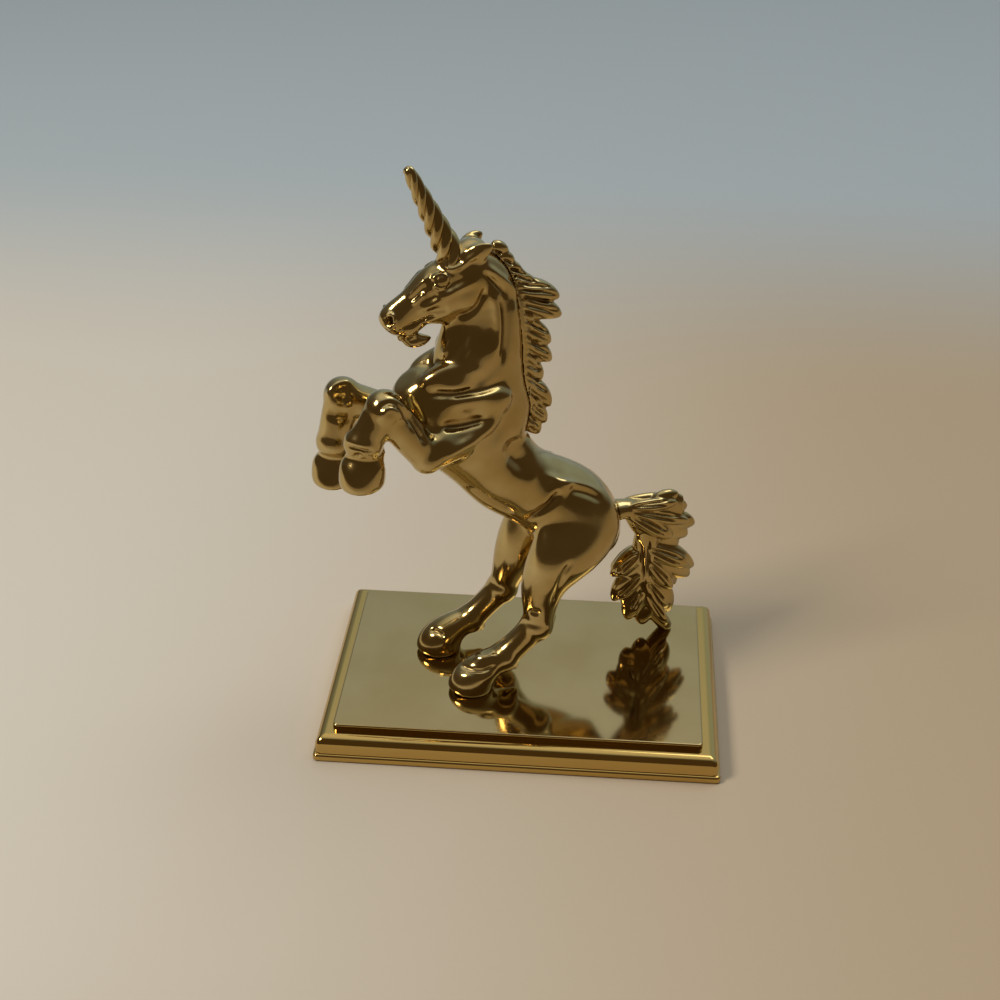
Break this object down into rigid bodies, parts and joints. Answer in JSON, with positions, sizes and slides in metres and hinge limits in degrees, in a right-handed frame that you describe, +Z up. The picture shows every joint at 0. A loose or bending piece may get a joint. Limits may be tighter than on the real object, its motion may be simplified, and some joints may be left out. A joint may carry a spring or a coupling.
{
  "type": "unicorn figurine",
  "caption": "Polished brass ornament of a rearing unicorn with a twisted horn, lobed mane and leafy tail, standing on a rectangular plate with a moulded edge.",
  "frame": {"origin": "middle of the felt's underside, on the surface the ornament stands on", "axes": "+X along the plate's long side with the figure's head at -X, +Y to the plate's back, +Z up"},
  "size_m": [0.0772, 0.0508, 0.1092],
  "materials": {
    "plate_brass": "mirror polished",
    "figure_brass": "polished casting, darker in the creases",
    "screw_brass": "turned",
    "felt": "short-pile felt"
  },
  "bodies": {
    "root": {"base_plate": "plate_brass", "felt_pad": "felt", "hoof_screws": "screw_brass", "trunk": "figure_brass", "neck_and_head": "figure_brass", "horn": "figure_brass", "mane": "figure_brass", "tail": "figure_brass", "left_foreleg": "figure_brass", "right_foreleg": "figure_brass", "left_hind_leg": "figure_brass", "right_hind_leg": "figure_brass"}
  },
  "joints": []
}
